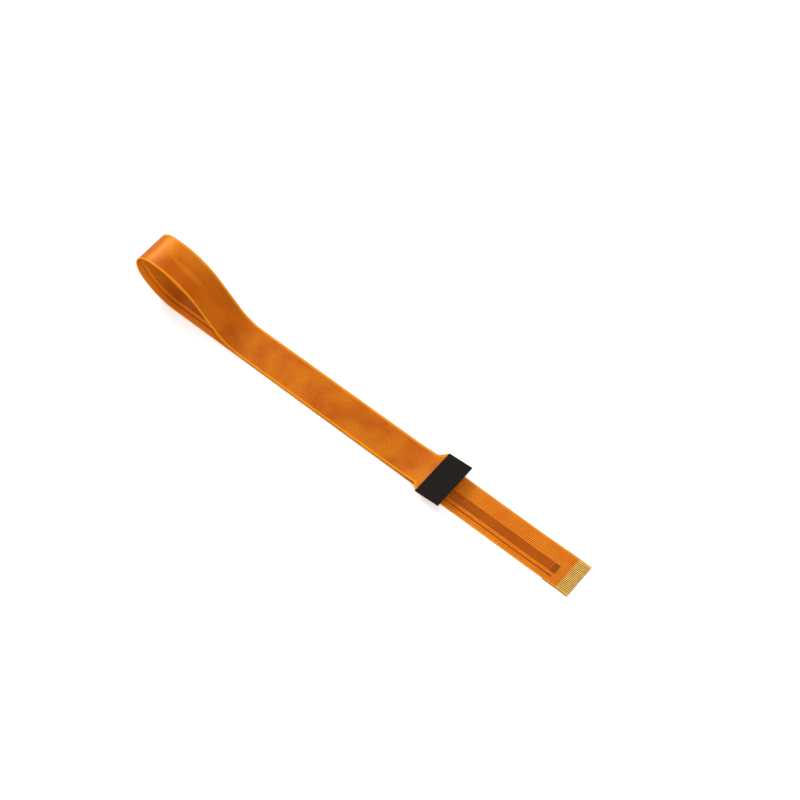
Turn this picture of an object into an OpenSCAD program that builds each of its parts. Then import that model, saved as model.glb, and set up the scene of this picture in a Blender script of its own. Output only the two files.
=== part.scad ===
// Flat flex cable: a folded camera-type flexible printed circuit.
// A narrow tail with 22 contacts lies flat, the film runs back, turns over in a loop
// and returns above itself to a wide tail with 15 contacts.
// X runs along the cable, Y across it and Z up. The cable rests on Z = 0.

/* [Cable] */
// Length of the film from tip to tip, along its middle
total_length = 300; // [260:5:400]
// Film that lies flat, from the narrow tip to where it lifts
lower_run = 150; // [120:5:170]
// Largest turn between two flat facets of a bend, in degrees
facet_turn = 6; // [5:1:10]

/* [Layers] */
// Thickness of each coverlay, the outer amber film
coverlay_t = 0.03; // [0.02:0.005:0.05]
// Thickness of each copper layer
copper_t = 0.02; // [0.012:0.002:0.035]
// Thickness of the base film in the middle
base_t = 0.025; // [0.0125:0.0125:0.05]
// Thickness of a stiffened tail, from its contacts to the back of its stiffener
tail_t = 0.3; // [0.25:0.01:0.35]

/* [Narrow tail] */
// Distance between two contacts
narrow_pitch = 0.5; // [0.4:0.05:0.6]
// Width of a contact and of its trace
trace_w = 0.3; // [0.2:0.02:0.34]
// Length of the bare gold contacts
narrow_contact_l = 4.2; // [3:0.1:5]
// Length of the stiffener under the tail
narrow_stiffener_l = 8.75; // [8:0.25:12]
// Distance from the tip to the via pads
via_pad_start = 6.9; // [6:0.1:7.5]
// Length of the wide via pad
wide_pad_l = 1.5; // [1:0.1:2.5]
// Distance from the tip to the small via pad
small_pad_start = 7.1; // [6:0.1:8]
// Length of the small via pad
small_pad_l = 1.6; // [1:0.1:2.5]
// Length of film over which the tail's step down to the surface is spread, for each half
step_l = 4; // [2:0.5:8]

/* [Wide tail] */
// Distance between two contacts
wide_pitch = 1; // [0.9:0.05:1.2]
// Width of a contact
wide_contact_w = 0.6; // [0.4:0.05:0.75]
// Length of the bare contacts
wide_contact_l = 4; // [3:0.25:4.5]
// Length of the stiffener
wide_stiffener_l = 8.6; // [8:0.2:12]
// Radius of the inner corner where the film widens
flare_r = 1.2; // [0.4:0.2:2]

/* [Ground mesh] */
// Plain film along each side of the mesh
mesh_margin = 0.7; // [0.4:0.05:1.2]
// Distance from the narrow tip to the mesh
mesh_start = 6; // [5:0.25:6.5]
// Length of mesh covered by the wide tail's stiffener
mesh_lap = 1.8; // [0.5:0.1:3]

/* [Loop] */
// Length of the first bend, which lifts the film
lift_l = 15; // [10:1:20]
// Turn of the first bend, in degrees
lift_turn = 54.5; // [50:0.5:64]
// Length of the bend at the far left
rear_l = 6.8; // [5:0.2:10]
// Turn of the bend at the far left, in degrees
rear_turn = 46.5; // [38:0.5:50]
// Length of the tight bend over the top
crown_l = 9; // [8:0.2:14]
// Turn of the tight bend over the top, in degrees
crown_turn = 73; // [66:1:78]
// Length of the bend down from the top
front_l = 20; // [15:1:26]
// Turn of the bend down from the top, in degrees
front_turn = 52.5; // [45:0.5:56]
// Length of the bend that lands the film on itself
landing_l = 10; // [8:0.5:16]
// Gap between the two runs of film where the upper one has landed
ply_gap = 0.6; // [0.4:0.1:2]
// Rise of the upper run, in degrees
upper_rise = 0.25; // [0.25:0.25:2]
// Length of the bend that lifts the wide tail
curl_l = 9; // [6:1:14]
// Turn of the bend that lifts the wide tail, in degrees
curl_turn = 7; // [5:1:14]

/* [Hidden] */

// Pins of the narrow tail, counted from the +Y edge. Pins 11 to 16 and pin 19 end at
// via pads, which join them to the mesh. The other 15 run on to the wide tail.
narrow_pins = 22;
pad_first = 11;
pad_last = 16;
small_pad_pin = 19;
long_pins = [
    for (p = [1:narrow_pins]) if ((p < pad_first || p > pad_last) && p != small_pad_pin) p
];
wide_pins = len(long_pins);

// A tail is one pitch wider than its row of contacts.
film_w = narrow_pitch * (narrow_pins + 1);
wide_w = wide_pitch * (wide_pins + 1);

// Depth of each layer, from the back of the film to its front
mesh_d = coverlay_t;
base_d = mesh_d + copper_t;
trace_d = base_d + base_t;
cover_d = trace_d + copper_t;
film_t = cover_d + coverlay_t;
stiffener_t = tail_t - cover_d;

// The wide tail is straight from its flare to its tip.
flare_l = (wide_w - film_w) / 2;
flare_lead = 1;
wide_flat = wide_stiffener_l + flare_l + flare_lead;
flare_steps = 4;

// The narrow stiffener lifts its tail off the surface, and the film steps down behind it.
step_lead = 0.75;
step_turn = 2 * asin(stiffener_t / (2 * step_l));

// The landing bend takes out the turn that the loop has beyond a half turn. The straight
// descent before it is as long as the drop to the lower run needs.
over_turn = lift_turn + rear_turn + crown_turn + front_turn;
landing_turn = over_turn - 180 + upper_rise;
loop_bends = [[lift_l, lift_turn], [rear_l, rear_turn], [crown_l, crown_turn], [front_l, front_turn]];
tail_bends = [
    [narrow_stiffener_l + step_lead, 0],
    [step_l, -step_turn],
    [step_l, step_turn],
    [lower_run - narrow_stiffener_l - step_lead - 2 * step_l, 0]
];

// A bend is a row of equal facets, each [length, turn before it, turn after it].
function facet_count(turn) = max(1, ceil(abs(turn) / facet_turn));
function facets(bend) = let (n = facet_count(bend[1])) [
    for (i = [1:n]) [bend[0] / n, bend[1] / n / 2, bend[1] / n / 2]
];
function all_facets(bends) = [for (b = bends) each facets(b)];

// Walks along the facets: each station is [distance along, x, z, heading after it].
// A heading of 0 runs towards -X, and a positive turn lifts it.
function walk(rows, at, i = 0) = i >= len(rows)
    ? [at]
    : let (
        run = at[3] + rows[i][1],
        next = [
            at[0] + rows[i][0],
            at[1] - rows[i][0] * cos(run),
            at[2] + rows[i][0] * sin(run),
            run + rows[i][2]
        ]
    ) concat([at], walk(rows, next, i + 1));

start = [0, 0, stiffener_t, 0];
up_to_front = walk(all_facets(concat(tail_bends, loop_bends)), start);
front_end = up_to_front[len(up_to_front) - 1];
landing_rows = all_facets([[landing_l, -landing_turn]]);
landing_path = walk(landing_rows, [0, 0, 0, front_end[3]]);
landing_drop = -landing_path[len(landing_path) - 1][2];
// The upper run's back is its top, so its front lies one film above the lower run's front.
landed_z = 2 * film_t + ply_gap;
descent_l = (front_end[2] - landing_drop - landed_z) / sin(over_turn - 180);
loop_l = lift_l + rear_l + crown_l + front_l + descent_l + landing_l;
upper_run = total_length - lower_run - loop_l - curl_l - wide_flat;
bends = concat(tail_bends, loop_bends, [
    [descent_l, 0],
    [landing_l, -landing_turn],
    [upper_run, 0],
    [curl_l, -curl_turn],
    [wide_flat, 0]
]);
path_raw = walk(all_facets(bends), start);
path_x = [for (p = path_raw) p[1]];
centre_x = (min(path_x) + max(path_x)) / 2;
path = [for (p = path_raw) [p[0], p[1] - centre_x, p[2]]];
last = len(path) - 1;

// Heading of facet i as a unit vector in X and Z, and its front side's normal
function facet_dir(i) = let (v = [path[i + 1][1] - path[i][1], path[i + 1][2] - path[i][2]]) v / norm(v);
function normal_of(t) = [t[1], -t[0]];
function facet_normal(i) = normal_of(facet_dir(max(0, min(last - 1, i))));
// Mitre at station i: one unit of depth, measured square to both facets that meet there
function mitre(i) = let (a = facet_normal(i - 1), b = facet_normal(i)) (a + b) / (1 + a * b);
// Facet that holds distance s, and the point there at depth d
function facet_at(s, i = 0) = (i >= last - 1 || s < path[i + 1][0]) ? i : facet_at(s, i + 1);
function point_at(s, d) = let (i = facet_at(s), t = facet_dir(i)) [
    path[i][1] + t[0] * (s - path[i][0]) + facet_normal(i)[0] * d,
    path[i][2] + t[1] * (s - path[i][0]) + facet_normal(i)[1] * d
];
// The film's section line at depth d, from distance s0 to s1. A station that falls on
// either end isn't repeated.
same_place = 0.01;
function line_at(s0, s1, d) = concat(
    [point_at(s0, d)],
    [for (i = [1:last - 1]) if (path[i][0] > s0 + same_place && path[i][0] < s1 - same_place)
        [path[i][1] + mitre(i)[0] * d, path[i][2] + mitre(i)[1] * d]],
    [point_at(s1, d)]
);
function backwards(v) = [for (i = [len(v) - 1:-1:0]) v[i]];

// A strip of one layer that follows the film between two distances and two values of Y
module strip(s0, s1, y0, y1, d0, d1) {
    translate([0, y1, 0])
        rotate([90, 0, 0])
            linear_extrude(y1 - y0)
                polygon(concat(line_at(s0, s1, d0), backwards(line_at(s0, s1, d1))));
}

// The wide tail lies over the lower run. Below this height, halfway between the stiffened
// narrow tail's top and the upper run, an outline is the lower run's. Above it the outline
// is that of the upper run and its tail.
upper_low_z = film_t + ply_gap;
split_z = (tail_t + upper_low_z) / 2;
split_lap = (upper_low_z - tail_t) / 4;
// Cutting shapes reach this far past the film.
cut_over = 1;
far_x = total_length;
high_z = total_length / 4;
tail_tilt = curl_turn + upper_rise;
tail_s = total_length - wide_flat;
// X of a point that lies u along the wide tail, from the start of its straight stretch
function tail_x(u) = path[last - 1][1] + u * cos(tail_tilt);

// One layer from distance s0 to s1, cut to a lower and an upper outline seen from above
module cut_layer(s0, s1, d0, d1) {
    intersection() {
        strip(s0, s1, -wide_w / 2 - cut_over, wide_w / 2 + cut_over, d0, d1);
        union() {
            translate([0, 0, -cut_over])
                linear_extrude(cut_over + split_z + split_lap)
                    children(0);
            translate([0, 0, split_z - split_lap])
                linear_extrude(high_z)
                    children(1);
        }
    }
}

// Straight lane between two values of Y
module lane_outline(y0, y1) {
    translate([-far_x, y0])
        square([2 * far_x, y1 - y0]);
}

// Film with a margin taken off its sides, widening to the wide tail at 45 degrees. The
// inner corners have a radius.
module flared_outline(margin) {
    r = flare_r + margin;
    low_y = film_w / 2 - margin;
    high_y = wide_w / 2 - margin;
    corner_u = flare_lead + margin * tan(22.5);
    bend_u = corner_u - r * tan(22.5);
    edge = concat(
        [[-far_x, low_y]],
        [for (i = [0:flare_steps]) [
            tail_x(bend_u + r * sin(45 * i / flare_steps)),
            low_y + r * (1 - cos(45 * i / flare_steps))
        ]],
        [[tail_x(corner_u + high_y - low_y), high_y], [far_x, high_y]]
    );
    polygon(concat(edge, [for (p = backwards(edge)) [p[0], -p[1]]]));
}

// A layer of the film with its full outline, set in by a margin
module film_layer(s0, s1, margin, d0, d1) {
    cut_layer(s0, s1, d0, d1) {
        lane_outline(margin - film_w / 2, film_w / 2 - margin);
        flared_outline(margin);
    }
}

function pin_y(pin) = film_w / 2 - narrow_pitch * pin;
function contact_y(k) = wide_w / 2 - wide_pitch * k;

// A trace runs in its lane from its narrow contact, and fans out to its contact in the
// wide tail. It is straight again just before the bare contact starts.
fan_lead = 0.6;
contact_lead = 1;
fan_start = tail_x(flare_lead + fan_lead);
fan_end = tail_x(wide_flat - wide_contact_l - contact_lead);
module conductor(k) {
    lane = pin_y(long_pins[k - 1]);
    contact = contact_y(k);
    half = trace_w / 2;
    contact_half = wide_contact_w / 2;
    cut_layer(0, total_length, trace_d, cover_d) {
        lane_outline(lane - half, lane + half);
        polygon([
            [-far_x, lane - half],
            [fan_start, lane - half],
            [fan_end, contact - contact_half],
            [far_x, contact - contact_half],
            [far_x, contact + contact_half],
            [fan_end, contact + contact_half],
            [fan_start, lane + half],
            [-far_x, lane + half]
        ]);
    }
}

// Short contacts that end at a via pad, as one piece of copper. The pad is a little wider
// than its outer traces, and stays clear of the next lane.
pad_side = 0.6 * (narrow_pitch - trace_w);
module ground_tab(first, final, pad_start, pad_l) {
    for (p = [first:final])
        strip(0, pad_start + pad_l, pin_y(p) - trace_w / 2, pin_y(p) + trace_w / 2, trace_d, cover_d);
    strip(
        pad_start, pad_start + pad_l,
        pin_y(final) - trace_w / 2 - pad_side, pin_y(first) + trace_w / 2 + pad_side,
        trace_d, cover_d
    );
}

module back_coverlay() {
    color("goldenrod")
        film_layer(0, total_length, 0, 0, mesh_d);
}
module ground_mesh() {
    color("peru")
        film_layer(mesh_start, total_length - wide_stiffener_l + mesh_lap, mesh_margin, mesh_d, base_d);
}
module base_film() {
    color("darkgoldenrod")
        film_layer(0, total_length, 0, base_d, trace_d);
}
module front_coverlay() {
    color("orange")
        film_layer(narrow_contact_l, total_length - wide_contact_l, 0, cover_d, film_t);
}
module narrow_stiffener() {
    color("black")
        strip(0, narrow_stiffener_l, -film_w / 2, film_w / 2, -stiffener_t, 0);
}
module wide_stiffener() {
    color("black")
        strip(total_length - wide_stiffener_l, total_length, -wide_w / 2, wide_w / 2, -stiffener_t, 0);
}
module ground_tab_wide() {
    color("sienna")
        ground_tab(pad_first, pad_last, via_pad_start, wide_pad_l);
}
module ground_tab_small() {
    color("sienna")
        ground_tab(small_pad_pin, small_pad_pin, small_pad_start, small_pad_l);
}
module conductor_node(k) {
    color("gold")
        conductor(k);
}

back_coverlay();
ground_mesh();
base_film();
front_coverlay();
narrow_stiffener();
wide_stiffener();
ground_tab_wide();
ground_tab_small();
conductor_node(1);  // conductor_01
conductor_node(2);  // conductor_02
conductor_node(3);  // conductor_03
conductor_node(4);  // conductor_04
conductor_node(5);  // conductor_05
conductor_node(6);  // conductor_06
conductor_node(7);  // conductor_07
conductor_node(8);  // conductor_08
conductor_node(9);  // conductor_09
conductor_node(10);  // conductor_10
conductor_node(11);  // conductor_11
conductor_node(12);  // conductor_12
conductor_node(13);  // conductor_13
conductor_node(14);  // conductor_14
conductor_node(15);  // conductor_15
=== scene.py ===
"""Flat flex cable: fine film layers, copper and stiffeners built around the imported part."""

import math

import bmesh
import bpy
from mathutils import Matrix, Vector


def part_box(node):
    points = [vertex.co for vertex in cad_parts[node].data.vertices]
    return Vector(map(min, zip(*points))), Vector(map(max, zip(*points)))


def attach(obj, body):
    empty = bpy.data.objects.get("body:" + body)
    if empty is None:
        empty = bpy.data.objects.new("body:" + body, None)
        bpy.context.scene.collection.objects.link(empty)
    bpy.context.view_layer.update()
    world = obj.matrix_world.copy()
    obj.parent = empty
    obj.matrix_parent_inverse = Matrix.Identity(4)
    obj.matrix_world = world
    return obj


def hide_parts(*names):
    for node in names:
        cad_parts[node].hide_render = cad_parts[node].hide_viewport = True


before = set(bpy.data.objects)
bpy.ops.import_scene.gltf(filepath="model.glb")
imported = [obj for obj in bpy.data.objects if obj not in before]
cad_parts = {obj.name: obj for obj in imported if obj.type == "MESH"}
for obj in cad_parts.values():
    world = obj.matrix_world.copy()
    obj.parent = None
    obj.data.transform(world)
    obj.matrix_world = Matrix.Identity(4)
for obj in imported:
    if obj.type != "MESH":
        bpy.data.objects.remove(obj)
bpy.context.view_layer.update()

# ---------------------------------------------------------------- sizes, in millimetres
MM = 0.001

# The cable's route, as in the part: each bend is (length, turn in degrees).
TOTAL_LENGTH = 300
LOWER_RUN = 150
LIFT, REAR, CROWN, FRONT = (15, 54.5), (6.8, 46.5), (9, 73), (20, 52.5)
LANDING_L, PLY_GAP, UPPER_RISE = 10, 0.6, 0.25
CURL_L, CURL_TURN = 9, 7
FACET_TURN = 1.5

# Depths are measured from the film's back to its front.
COVERLAY_T, COPPER_T, BASE_T, TAIL_T = 0.03, 0.02, 0.025, 0.3
MESH_D = COVERLAY_T
BASE_D = MESH_D + COPPER_T
TRACE_D = BASE_D + BASE_T
COVER_D = TRACE_D + COPPER_T
FILM_T = COVER_D + COVERLAY_T
STIFFENER_T = TAIL_T - COVER_D
SKIN_GAP = 0.002
PLATE_LIP, PLATE_BEVEL, BEVEL_STEPS = 0.12, 0.03, 2

NARROW_PITCH, NARROW_PINS, TRACE_W = 0.5, 22, 0.3
NARROW_CONTACT_L, NARROW_STIFFENER_L, STEP_LEAD, STEP_L = 4.2, 8.75, 0.75, 4
PAD_FIRST, PAD_LAST, SMALL_PAD_PIN = 11, 16, 19
VIA_PAD_START, WIDE_PAD_L, SMALL_PAD_START, SMALL_PAD_L = 6.9, 1.5, 7.1, 1.6
PAD_SIDE = 0.6 * (NARROW_PITCH - TRACE_W)
LONG_PINS = [
    pin for pin in range(1, NARROW_PINS + 1)
    if not PAD_FIRST <= pin <= PAD_LAST and pin != SMALL_PAD_PIN
]
WIDE_PITCH, WIDE_CONTACT_W, WIDE_CONTACT_L, WIDE_STIFFENER_L = 1, 0.6, 4, 8.6
FLARE_R, FLARE_LEAD, FLARE_STEPS = 1.2, 1, 8
FAN_LEAD, CONTACT_LEAD = 0.6, 1
MESH_MARGIN, MESH_START, MESH_LAP = 0.7, 6, 1.8
MESH_PITCH, MESH_LINE_W = 0.5, 0.22
VIA_PITCH, VIA_R, VIA_SIDES, VIA_STAGGER = 0.42, 0.13, 12, 0.22
SAME_PLACE, ROUNDING = 1e-4, 1e-9

FILM_W = NARROW_PITCH * (NARROW_PINS + 1)
WIDE_W = WIDE_PITCH * (len(LONG_PINS) + 1)
FLARE_L = (WIDE_W - FILM_W) / 2
WIDE_FLAT = WIDE_STIFFENER_L + FLARE_L + FLARE_LEAD
WIDE_START = TOTAL_LENGTH - WIDE_FLAT


# ---------------------------------------------------------------- the cable's route
def walk(bends, start):
    """Stations (distance, x, z, heading) along bends. Heading 0 runs towards -X."""
    stations = [start]
    for length, turn in bends:
        count = max(1, math.ceil(abs(turn) / FACET_TURN))
        for _ in range(count):
            s, x, z, heading = stations[-1]
            mid = math.radians(heading + turn / count / 2)
            step = length / count
            x, z = x - step * math.cos(mid), z + step * math.sin(mid)
            stations.append((s + step, x, z, heading + turn / count))
    return stations


step_turn = 2 * math.degrees(math.asin(STIFFENER_T / (2 * STEP_L)))
tail_bends = [
    (NARROW_STIFFENER_L + STEP_LEAD, 0),
    (STEP_L, -step_turn),
    (STEP_L, step_turn),
    (LOWER_RUN - NARROW_STIFFENER_L - STEP_LEAD - 2 * STEP_L, 0),
]
loop_bends = [LIFT, REAR, CROWN, FRONT]
loop_turn = sum(turn for _, turn in loop_bends)
landing = (LANDING_L, -(loop_turn - 180 + UPPER_RISE))
front_end = walk(tail_bends + loop_bends, (0, 0, STIFFENER_T, 0))[-1]
landing_drop = -walk([landing], (0, 0, 0, front_end[3]))[-1][2]
landed_z = 2 * FILM_T + PLY_GAP
descent_l = (front_end[2] - landing_drop - landed_z) / math.sin(math.radians(loop_turn - 180))
loop_l = sum(length for length, _ in loop_bends) + descent_l + LANDING_L
upper_run = TOTAL_LENGTH - LOWER_RUN - loop_l - CURL_L - WIDE_FLAT
tip_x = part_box("narrow_stiffener")[1][0] / MM
upper_bends = [(descent_l, 0), landing, (upper_run, 0), (CURL_L, -CURL_TURN), (WIDE_FLAT, 0)]
ROUTE = walk(tail_bends + loop_bends + upper_bends, (0, tip_x, STIFFENER_T, 0))


def on_route(s):
    """Point and heading on the back of the film at a distance from the narrow tip."""
    for a, b in zip(ROUTE, ROUTE[1:]):
        if s <= b[0] + ROUNDING:
            break
    t = (s - a[0]) / (b[0] - a[0])
    return tuple(p + (q - p) * t for p, q in zip(a[1:], b[1:]))


def place(s, y, depth):
    """Point in metres at a distance, a Y and a depth from the film's back to its front."""
    x, z, heading = on_route(s)
    angle = math.radians(heading)
    return Vector(((x + math.sin(angle) * depth) * MM, y * MM, (z + math.cos(angle) * depth) * MM))


def flare_points(margin):
    """Corners (distance, half width) of the outline where it widens, set in by a margin."""
    radius = FLARE_R + margin
    low_y, high_y = FILM_W / 2 - margin, WIDE_W / 2 - margin
    corner = FLARE_LEAD + margin * math.tan(math.radians(22.5))
    bend = corner - radius * math.tan(math.radians(22.5))
    points = []
    for i in range(FLARE_STEPS + 1):
        angle = math.radians(45 * i / FLARE_STEPS)
        along, across = radius * math.sin(angle), radius * (1 - math.cos(angle))
        points.append((WIDE_START + bend + along, low_y + across))
    points.append((WIDE_START + corner + high_y - low_y, high_y))
    return points


def half_width(margin):
    """The outline's half width as a function of distance."""
    corners = flare_points(margin)

    def at(s):
        if s <= corners[0][0]:
            return corners[0][1]
        for (s0, y0), (s1, y1) in zip(corners, corners[1:]):
            if s <= s1:
                return y0 + (y1 - y0) * (s - s0) / (s1 - s0)
        return corners[-1][1]

    return at


def stations_between(s0, s1, extra=()):
    """Distances at which a layer has a row of vertices."""
    wanted = [station[0] for station in ROUTE] + list(extra) + [s0, s1]
    kept = []
    for s in sorted(s for s in wanted if s0 <= s <= s1):
        if not kept or s - kept[-1] > SAME_PLACE:
            kept.append(s)
    return kept


def pin_y(pin):
    return FILM_W / 2 - NARROW_PITCH * pin


def contact_y(k):
    return WIDE_W / 2 - WIDE_PITCH * k


# ---------------------------------------------------------------- materials
def linear(r, g, b):
    """Linear colour of an sRGB one from 0 to 255."""
    return tuple(
        c / 255 / 12.92 if c <= 10 else ((c / 255 + 0.055) / 1.055) ** 2.4 for c in (r, g, b)
    ) + (1,)


CLOUD_DETAIL, CLOUD_LOW, CLOUD_HIGH = 3, 0.3, 0.7
FINE_DETAIL, FINE_PER_GRAIN = 4, 6


class Look:
    """A node material with colour that varies over the surface, uneven gloss and a fine bump."""

    def __init__(self, name, colour, dark, grain_mm, roughness, bump_mm=0.002, **sockets):
        self.material = bpy.data.materials.new(name)
        self.material.use_nodes = True
        self.nodes = self.material.node_tree.nodes
        self.links = self.material.node_tree.links
        self.shader = self.nodes["Principled BSDF"]
        self.place = self.nodes.new("ShaderNodeTexCoord").outputs["Object"]
        clouds = self.soft_step(self.noise(1 / (grain_mm * MM), CLOUD_DETAIL))
        shade = self.mix(clouds, linear(*dark), linear(*colour))
        self.links.new(shade, self.shader.inputs["Base Color"])
        fine = self.noise(FINE_PER_GRAIN / (grain_mm * MM), FINE_DETAIL)
        spread = self.nodes.new("ShaderNodeMapRange")
        spread.inputs["To Min"].default_value = roughness[0]
        spread.inputs["To Max"].default_value = roughness[1]
        self.links.new(fine, spread.inputs["Value"])
        self.links.new(spread.outputs["Result"], self.shader.inputs["Roughness"])
        bump = self.nodes.new("ShaderNodeBump")
        bump.inputs["Distance"].default_value = bump_mm * MM
        self.links.new(fine, bump.inputs["Height"])
        self.links.new(bump.outputs["Normal"], self.shader.inputs["Normal"])
        for socket, value in sockets.items():
            self.shader.inputs[socket.replace("_", " ")].default_value = value

    def clear(self, share, tint):
        """Let part of the light straight through, tinted."""
        clear = self.nodes.new("ShaderNodeBsdfTransparent")
        clear.inputs["Color"].default_value = linear(*tint)
        mixed = self.nodes.new("ShaderNodeMixShader")
        mixed.inputs[0].default_value = share
        self.links.new(self.shader.outputs[0], mixed.inputs[1])
        self.links.new(clear.outputs[0], mixed.inputs[2])
        self.links.new(mixed.outputs[0], self.nodes["Material Output"].inputs["Surface"])
        return self

    def noise(self, scale, detail):
        node = self.nodes.new("ShaderNodeTexNoise")
        node.inputs["Scale"].default_value = scale
        node.inputs["Detail"].default_value = detail
        self.links.new(self.place, node.inputs["Vector"])
        return node.outputs["Fac"]

    def mix(self, factor, low, high):
        node = self.nodes.new("ShaderNodeMix")
        node.data_type = "RGBA"
        self.links.new(factor, node.inputs["Factor"])
        node.inputs[6].default_value = low
        node.inputs[7].default_value = high
        return node.outputs[2]

    def soft_step(self, value):
        """Spread a noise out, so that its light and dark fields reach full strength."""
        node = self.nodes.new("ShaderNodeMapRange")
        node.interpolation_type = "SMOOTHSTEP"
        node.inputs["From Min"].default_value = CLOUD_LOW
        node.inputs["From Max"].default_value = CLOUD_HIGH
        self.links.new(value, node.inputs["Value"])
        return node.outputs["Result"]


def make_materials():
    """Every material, by a short name. Colours are (light, dark) from 0 to 255."""
    looks = {}
    looks["coverlay"] = Look(
        "coverlay_film", (240, 130, 10), (226, 112, 6), 9, (0.25, 0.38), 0.0015,
        Alpha=0.14, Specular_IOR_Level=0.2,
    )
    # Painted light: the bare margin's amber is painted brighter, for light that shines through film with
    # no copper behind it.
    looks["margin"] = Look(
        "base_film_margin_painted_light", (252, 186, 14), (248, 168, 10), 6, (0.35, 0.5), Specular_IOR_Level=0.1,
    ).clear(0.3, (255, 220, 90))
    # Painted shade: the film's middle is painted darker on its front, where the copper behind it holds
    # back the light.
    looks["film_front"] = Look(
        "base_film_front", (140, 52, 6), (122, 42, 3), 7, (0.4, 0.55), Specular_IOR_Level=0.1,
    ).clear(0.5, (255, 204, 80))
    # Painted shade: the film's back, seen between the hatch lines, is painted darker than the margin for
    # the traces behind it.
    looks["film_back"] = Look(
        "base_film_back", (222, 120, 8), (184, 78, 4), 9, (0.4, 0.55), Specular_IOR_Level=0.1,
    ).clear(0.62, (255, 222, 104))
    looks["trace"] = Look(
        "trace_copper", (252, 164, 40), (240, 140, 28), 8, (0.34, 0.46), 0.001,
        Metallic=0.5, Specular_IOR_Level=0.2,
    )
    looks["mesh"] = Look(
        "mesh_copper", (255, 170, 38), (232, 124, 20), 9, (0.34, 0.48), 0.001,
        Metallic=0.5, Specular_IOR_Level=0.2, Alpha=0.4,
    )
    looks["gold"] = Look(
        "contact_gold", (242, 204, 110), (230, 184, 90), 1.5, (0.26, 0.38), 0.001,
        Metallic=0.6, Specular_IOR_Level=0.3,
    )
    looks["via"] = Look(
        "via_copper", (66, 24, 8), (36, 12, 4), 0.4, (0.3, 0.5), 0.004,
        Metallic=0.3, Specular_IOR_Level=0.2,
    )
    looks["via_hole"] = Look(
        "via_hole", (150, 84, 34), (96, 44, 16), 0.3, (0.4, 0.6), 0.004, Specular_IOR_Level=0.1,
    )
    looks["stiffener"] = Look(
        "black_laminate", (24, 18, 12), (15, 11, 8), 0.35, (0.5, 0.7), 0.006, Specular_IOR_Level=0.08,
    )
    return {name: look.material for name, look in looks.items()}


# ---------------------------------------------------------------- layers
BACK, FACE, SIDE, END = range(4)


def finish_mesh(name, bm, materials, node):
    """Turn a bmesh with side tags into a piece that stands for a CAD node."""
    tag = bm.faces.layers.int["side"]
    bmesh.ops.recalc_face_normals(bm, faces=bm.faces)
    for face in bm.faces:
        face.smooth = True
    for edge in bm.edges:
        edge.smooth = len({face[tag] for face in edge.link_faces}) == 1
    mesh = bpy.data.meshes.new(name)
    bm.to_mesh(mesh)
    bm.free()
    for material in materials:
        mesh.materials.append(material)
    piece = bpy.data.objects.new(name, mesh)
    bpy.context.collection.objects.link(piece)
    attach(piece, "root")
    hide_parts(node)
    return piece


def add_strip(bm, distances, edges, depths, material):
    """One closed strip of a layer. edges are functions of distance that give Y, and
    material gives the slot number of a face from its side, zone and distance."""
    tag = bm.faces.layers.int.get("side") or bm.faces.layers.int.new("side")
    rows = []
    for s in distances:
        row = []
        for depth in depths:
            row.append([bm.verts.new(place(s, edge(s), depth)) for edge in edges])
        rows.append(row)

    def add(verts, side, zone, s):
        face = bm.faces.new(verts)
        face[tag] = side
        face.material_index = material(side, zone, s)

    last_zone = len(edges) - 2
    for (s0, a), (s1, b) in zip(zip(distances, rows), zip(distances[1:], rows[1:])):
        middle = (s0 + s1) / 2
        for zone in range(len(edges) - 1):
            add((a[0][zone], b[0][zone], b[0][zone + 1], a[0][zone + 1]), BACK, zone, middle)
            add((a[1][zone], a[1][zone + 1], b[1][zone + 1], b[1][zone]), FACE, zone, middle)
        add((a[0][0], a[1][0], b[1][0], b[0][0]), SIDE, 0, middle)
        add((a[0][-1], b[0][-1], b[1][-1], a[1][-1]), SIDE, last_zone, middle)
    for row, s in ((rows[0], distances[0]), (rows[-1], distances[-1])):
        for zone in range(len(edges) - 1):
            add((row[0][zone], row[0][zone + 1], row[1][zone + 1], row[1][zone]), END, zone, s)


def film_layer(name, s0, s1, depths, materials, material, node):
    """A layer with the film's outline, split into its two margins and its middle."""
    outer, inner = half_width(0), half_width(MESH_MARGIN)
    corners = [s for s, _ in flare_points(0) + flare_points(MESH_MARGIN)]
    edges = [
        lambda s: -outer(s), lambda s: -inner(s), lambda s: inner(s), lambda s: outer(s),
    ]
    bm = bmesh.new()
    add_strip(bm, stations_between(s0, s1, corners), edges, depths, material)
    return finish_mesh(name, bm, materials, node)


def cable_film(looks):
    """The base film, which is the body of the cable."""
    # The margins get the brighter painted light, and the middle gets the darker painted shade on its
    # front and back.
    def material(side, zone, s):
        if zone != 1:
            return 0
        return 2 if side == BACK else 1

    return film_layer(
        "base_film_ribbon", 0, TOTAL_LENGTH, (BASE_D + SKIN_GAP, TRACE_D - SKIN_GAP),
        [looks["margin"], looks["film_front"], looks["film_back"]], material, "base_film",
    )


def coverlays(looks):
    return [
        film_layer(
            "back_coverlay_ribbon", 0, TOTAL_LENGTH, (0, MESH_D - SKIN_GAP),
            [looks["coverlay"]], lambda side, zone, s: 0, "back_coverlay",
        ),
        film_layer(
            "front_coverlay_ribbon", NARROW_CONTACT_L, TOTAL_LENGTH - WIDE_CONTACT_L,
            (COVER_D + SKIN_GAP, FILM_T), [looks["coverlay"]], lambda side, zone, s: 0,
            "front_coverlay",
        ),
    ]


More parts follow.
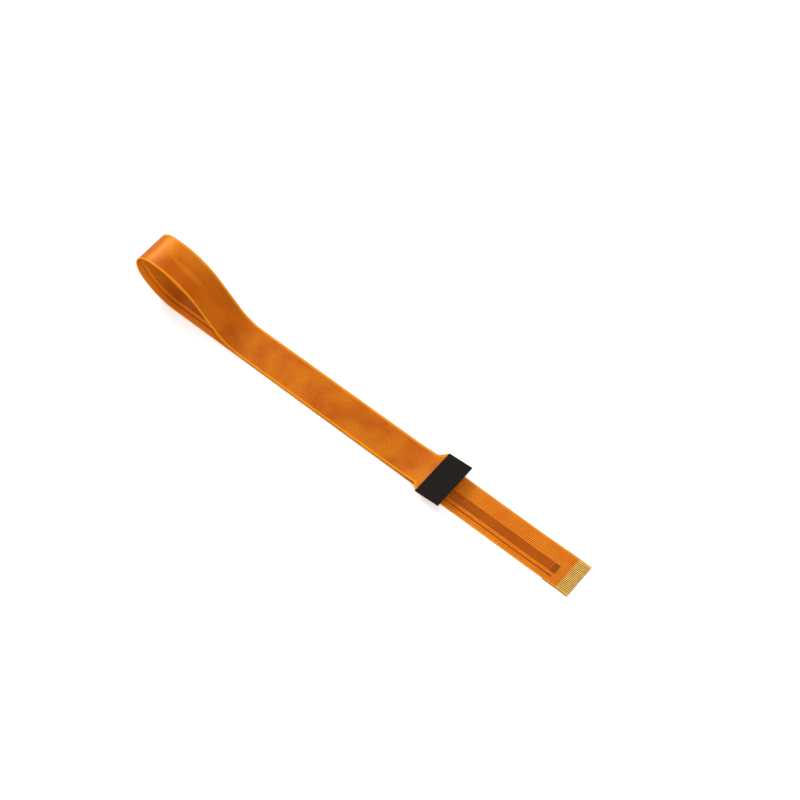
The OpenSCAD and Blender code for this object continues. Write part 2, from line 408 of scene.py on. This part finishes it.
def conductors(looks):
    """The 15 traces, gold plated where they are bare at both ends."""
    fan_start = WIDE_START + FLARE_LEAD + FAN_LEAD
    fan_end = TOTAL_LENGTH - WIDE_CONTACT_L - CONTACT_LEAD
    pieces = []
    for k, pin in enumerate(LONG_PINS, 1):
        lane, contact = pin_y(pin), contact_y(k)

        def edge(sign):
            low, high = lane + sign * TRACE_W / 2, contact + sign * WIDE_CONTACT_W / 2

            def at(s):
                t = min(1, max(0, (s - fan_start) / (fan_end - fan_start)))
                return low + (high - low) * t

            return at

        def material(side, zone, s):
            return 0 if NARROW_CONTACT_L < s < TOTAL_LENGTH - WIDE_CONTACT_L else 1

        distances = stations_between(
            0, TOTAL_LENGTH, (NARROW_CONTACT_L, TOTAL_LENGTH - WIDE_CONTACT_L, fan_start, fan_end)
        )
        bm = bmesh.new()
        add_strip(bm, distances, [edge(-1), edge(1)], (TRACE_D, COVER_D), material)
        name = f"conductor_{k:02d}"
        materials = [looks["trace"], looks["gold"]]
        pieces.append(finish_mesh(name + "_foil", bm, materials, name))
    return pieces


def ground_tab(looks, name, first, final, pad_start, pad_l, node):
    """Short contacts that end at a pad full of vias."""
    bm = bmesh.new()

    def bare(side, zone, s):
        return 0 if s > NARROW_CONTACT_L else 1

    for pin in range(first, final + 1):
        y = pin_y(pin)
        add_strip(
            bm, stations_between(0, pad_start, (NARROW_CONTACT_L,)),
            [lambda s, y=y: y - TRACE_W / 2, lambda s, y=y: y + TRACE_W / 2], (TRACE_D, COVER_D), bare,
        )
    low, high = pin_y(final) - TRACE_W / 2 - PAD_SIDE, pin_y(first) + TRACE_W / 2 + PAD_SIDE
    add_strip(
        bm, stations_between(pad_start, pad_start + pad_l), [lambda s: low, lambda s: high],
        (TRACE_D, COVER_D - SKIN_GAP / 2), lambda side, zone, s: 2,
    )
    tag = bm.faces.layers.int["side"]
    rows = max(1, round((high - low) / VIA_PITCH))
    columns = max(1, round(pad_l / VIA_PITCH))
    for i in range(columns):
        for j in range(rows):
            s = pad_start + pad_l * (i + 0.5) / columns
            y = low + (high - low) * (j + 0.5 + VIA_STAGGER * (-1) ** i) / rows
            ring = []
            for a in range(VIA_SIDES):
                angle = 2 * math.pi * a / VIA_SIDES
                along, across = VIA_R * math.cos(angle), VIA_R * math.sin(angle)
                ring.append(bm.verts.new(place(s + along, y + across, COVER_D)))
            face = bm.faces.new(ring)
            face[tag] = FACE
            face.material_index = 3
    materials = [looks[key] for key in ("trace", "gold", "via", "via_hole")]
    return finish_mesh(name, bm, materials, node)


def clip(polygon, keep):
    """Cut a polygon to where keep(point) isn't negative; keep is linear."""
    result = []
    for i, here in enumerate(polygon):
        before = polygon[i - 1]
        a, b = keep(before), keep(here)
        if (a >= 0) != (b >= 0):
            t = a / (a - b)
            result.append(tuple(p + (q - p) * t for p, q in zip(before, here)))
        if b >= 0:
            result.append(here)
    return result


def ground_mesh(looks):
    """Copper hatch at 45 degrees both ways, cut to the film's outline less its margin."""
    reach = half_width(MESH_MARGIN)
    s_end = TOTAL_LENGTH - WIDE_STIFFENER_L + MESH_LAP
    corners = [s for s, _ in flare_points(MESH_MARGIN)]
    distances = stations_between(MESH_START, s_end, corners)
    half = MESH_LINE_W / 2 * math.sqrt(2)
    pitch = MESH_PITCH * math.sqrt(2)
    widest = WIDE_W / 2
    bm = bmesh.new()
    tag = bm.faces.layers.int.new("side")
    for sign in (1, -1):
        depth = MESH_D + SKIN_GAP * (2 if sign > 0 else 3)
        centre = MESH_START - widest
        while centre < s_end + widest:
            found = {}
            for s0, s1 in zip(distances, distances[1:]):
                if s1 < centre - widest - half or s0 > centre + widest + half:
                    continue
                y0, y1 = sign * (s0 - centre), sign * (s1 - centre)
                polygon = [(s0, y0 - half), (s1, y1 - half), (s1, y1 + half), (s0, y0 + half)]
                r0, r1 = reach(s0), reach(s1)
                slope = (r1 - r0) / (s1 - s0)
                polygon = clip(polygon, lambda p: r0 + slope * (p[0] - s0) - p[1])
                if len(polygon) > 2:
                    polygon = clip(polygon, lambda p: r0 + slope * (p[0] - s0) + p[1])
                verts = []
                for s, y in polygon:
                    key = (round(s, 4), round(y, 4))
                    if key not in found:
                        found[key] = bm.verts.new(place(s, y, depth))
                    if found[key] not in verts:
                        verts.append(found[key])
                if len(verts) > 2:
                    bm.faces.new(verts)[tag] = BACK
            centre += pitch
    return finish_mesh("ground_mesh_hatch", bm, [looks["mesh"]], "ground_mesh")


def stiffener(looks, name, s0, s1, width, node):
    """A black laminate plate with its edges broken, on the back of a tail."""
    bm = bmesh.new()
    half = width / 2
    add_strip(
        bm, [s0, (s0 + s1) / 2, s1], [lambda s: -half, lambda s: 0, lambda s: half],
        (-STIFFENER_T, 0), lambda side, zone, s: 0,
    )
    piece = finish_mesh(name, bm, [looks["stiffener"]], node)
    bevel = piece.modifiers.new("edges", "BEVEL")
    bevel.width = PLATE_BEVEL * MM
    bevel.segments = BEVEL_STEPS
    bevel.limit_method = "ANGLE"
    return piece


# ---------------------------------------------------------------- camera, light and floor
# The camera looks at a point on the floor, in millimetres. Heading turns from +Y towards -X.
SENSOR_W, LENS = 36, 94.4622
CAMERA_ELEVATION, CAMERA_HEADING, CAMERA_DISTANCE = 59.771, 39.589, 623.61
CAMERA_TARGET = (5.149, 13.662)
CLIP_START, CLIP_END = 0.01, 20

# Each light is (name, place in metres, width in metres, watts).
LIGHTS = [
    ("key", (-0.95, 0.35, 0.75), 0.7, 12),
    ("top", (0.1, 0.1, 1.3), 0.9, 3),
    ("fill", (0.85, -0.5, 0.7), 0.7, 6),
]
WORLD_LIT, WORLD_SHOWN = 0.42, 1
FLOOR_HALF, FLOOR_Z = 3.0, -0.00002
FLOOR_GREY, FLOOR_ROUGHNESS, FLOOR_GLOW = 0.8, 0.9, 0.36
TRANSPARENT_BOUNCES = 24


def add_camera():
    elevation, heading = math.radians(CAMERA_ELEVATION), math.radians(CAMERA_HEADING)
    away = Vector((-math.sin(heading), math.cos(heading), 0))
    right = Vector((math.cos(heading), math.sin(heading), 0))
    up_z = Vector((0, 0, 1))
    view = away * math.cos(elevation) - up_z * math.sin(elevation)
    up = away * math.sin(elevation) + up_z * math.cos(elevation)
    data = bpy.data.cameras.new("camera")
    data.sensor_width = SENSOR_W
    data.lens = LENS
    data.clip_start, data.clip_end = CLIP_START, CLIP_END
    camera = bpy.data.objects.new("camera", data)
    bpy.context.collection.objects.link(camera)
    target = Vector((*CAMERA_TARGET, 0)) * MM
    turn = Matrix((right, up, -view)).transposed().to_4x4()
    camera.matrix_world = Matrix.Translation(target - view * CAMERA_DISTANCE * MM) @ turn
    bpy.context.scene.camera = camera


def add_light(name, position, size, power):
    data = bpy.data.lights.new(name, "AREA")
    data.shape = "DISK"
    data.size = size
    data.energy = power
    light = bpy.data.objects.new(name, data)
    bpy.context.collection.objects.link(light)
    light.location = position
    light.rotation_euler = (-Vector(position)).to_track_quat("-Z", "Y").to_euler()


def add_floor():
    """A pale floor that looks white to the camera and still takes the cable's shadow."""
    bm = bmesh.new()
    bmesh.ops.create_grid(bm, x_segments=2, y_segments=2, size=FLOOR_HALF)
    mesh = bpy.data.meshes.new("floor")
    bm.to_mesh(mesh)
    bm.free()
    floor = bpy.data.objects.new("floor", mesh)
    floor.location.z = FLOOR_Z
    bpy.context.collection.objects.link(floor)
    material = bpy.data.materials.new("floor_white")
    material.use_nodes = True
    nodes, links = material.node_tree.nodes, material.node_tree.links
    shader = nodes["Principled BSDF"]
    shader.inputs["Base Color"].default_value = (FLOOR_GREY, FLOOR_GREY, FLOOR_GREY, 1)
    shader.inputs["Roughness"].default_value = FLOOR_ROUGHNESS
    shader.inputs["Specular IOR Level"].default_value = 0.0
    glow = nodes.new("ShaderNodeEmission")
    glow.inputs["Strength"].default_value = FLOOR_GLOW
    rays = nodes.new("ShaderNodeLightPath")
    seen = nodes.new("ShaderNodeMixShader")
    both = nodes.new("ShaderNodeAddShader")
    links.new(shader.outputs[0], both.inputs[0])
    links.new(glow.outputs[0], both.inputs[1])
    links.new(rays.outputs["Is Camera Ray"], seen.inputs[0])
    links.new(shader.outputs[0], seen.inputs[1])
    links.new(both.outputs[0], seen.inputs[2])
    links.new(seen.outputs[0], nodes["Material Output"].inputs["Surface"])
    mesh.materials.append(material)


def add_world():
    """Even white light, brighter where the camera sees it than where it lights the cable."""
    world = bpy.data.worlds.new("studio")
    bpy.context.scene.world = world
    world.use_nodes = True
    nodes, links = world.node_tree.nodes, world.node_tree.links
    nodes.clear()
    lit, shown = nodes.new("ShaderNodeBackground"), nodes.new("ShaderNodeBackground")
    lit.inputs["Color"].default_value = (1, 1, 1, 1)
    lit.inputs["Strength"].default_value = WORLD_LIT
    shown.inputs["Color"].default_value = (1, 1, 1, 1)
    shown.inputs["Strength"].default_value = WORLD_SHOWN
    rays, mixed = nodes.new("ShaderNodeLightPath"), nodes.new("ShaderNodeMixShader")
    output = nodes.new("ShaderNodeOutputWorld")
    links.new(rays.outputs["Is Camera Ray"], mixed.inputs[0])
    links.new(lit.outputs[0], mixed.inputs[1])
    links.new(shown.outputs[0], mixed.inputs[2])
    links.new(mixed.outputs[0], output.inputs["Surface"])


# ---------------------------------------------------------------- build
for item in [o for o in bpy.context.scene.objects if o.type in ("CAMERA", "LIGHT")]:
    bpy.data.objects.remove(item)
add_camera()
looks = make_materials()
film = cable_film(looks)
others = coverlays(looks) + conductors(looks)
others += [
    ground_tab(
        looks, "ground_tab_wide_foil", PAD_FIRST, PAD_LAST, VIA_PAD_START, WIDE_PAD_L, "ground_tab_wide"
    ),
    ground_tab(
        looks, "ground_tab_small_foil", SMALL_PAD_PIN, SMALL_PAD_PIN, SMALL_PAD_START, SMALL_PAD_L,
        "ground_tab_small",
    ),
    ground_mesh(looks),
    stiffener(
        looks, "narrow_stiffener_plate", 0, NARROW_STIFFENER_L, FILM_W + 2 * PLATE_LIP, "narrow_stiffener"
    ),
    stiffener(
        looks, "wide_stiffener_plate", TOTAL_LENGTH - WIDE_STIFFENER_L, TOTAL_LENGTH, WIDE_W,
        "wide_stiffener",
    ),
]

# The cable is one folded sheet. Its flat area follows the outline, with the narrow tail.
outline = half_width(0)
rows = stations_between(0, TOTAL_LENGTH, [s for s, _ in flare_points(0)])
flat_area = sum((b - a) * (outline(a) + outline(b)) for a, b in zip(rows, rows[1:]))
add_floor()
add_world()
for light in LIGHTS:
    add_light(*light)

scene = bpy.context.scene
scene.view_settings.view_transform = "Standard"
scene.cycles.transparent_max_bounces = TRANSPARENT_BOUNCES
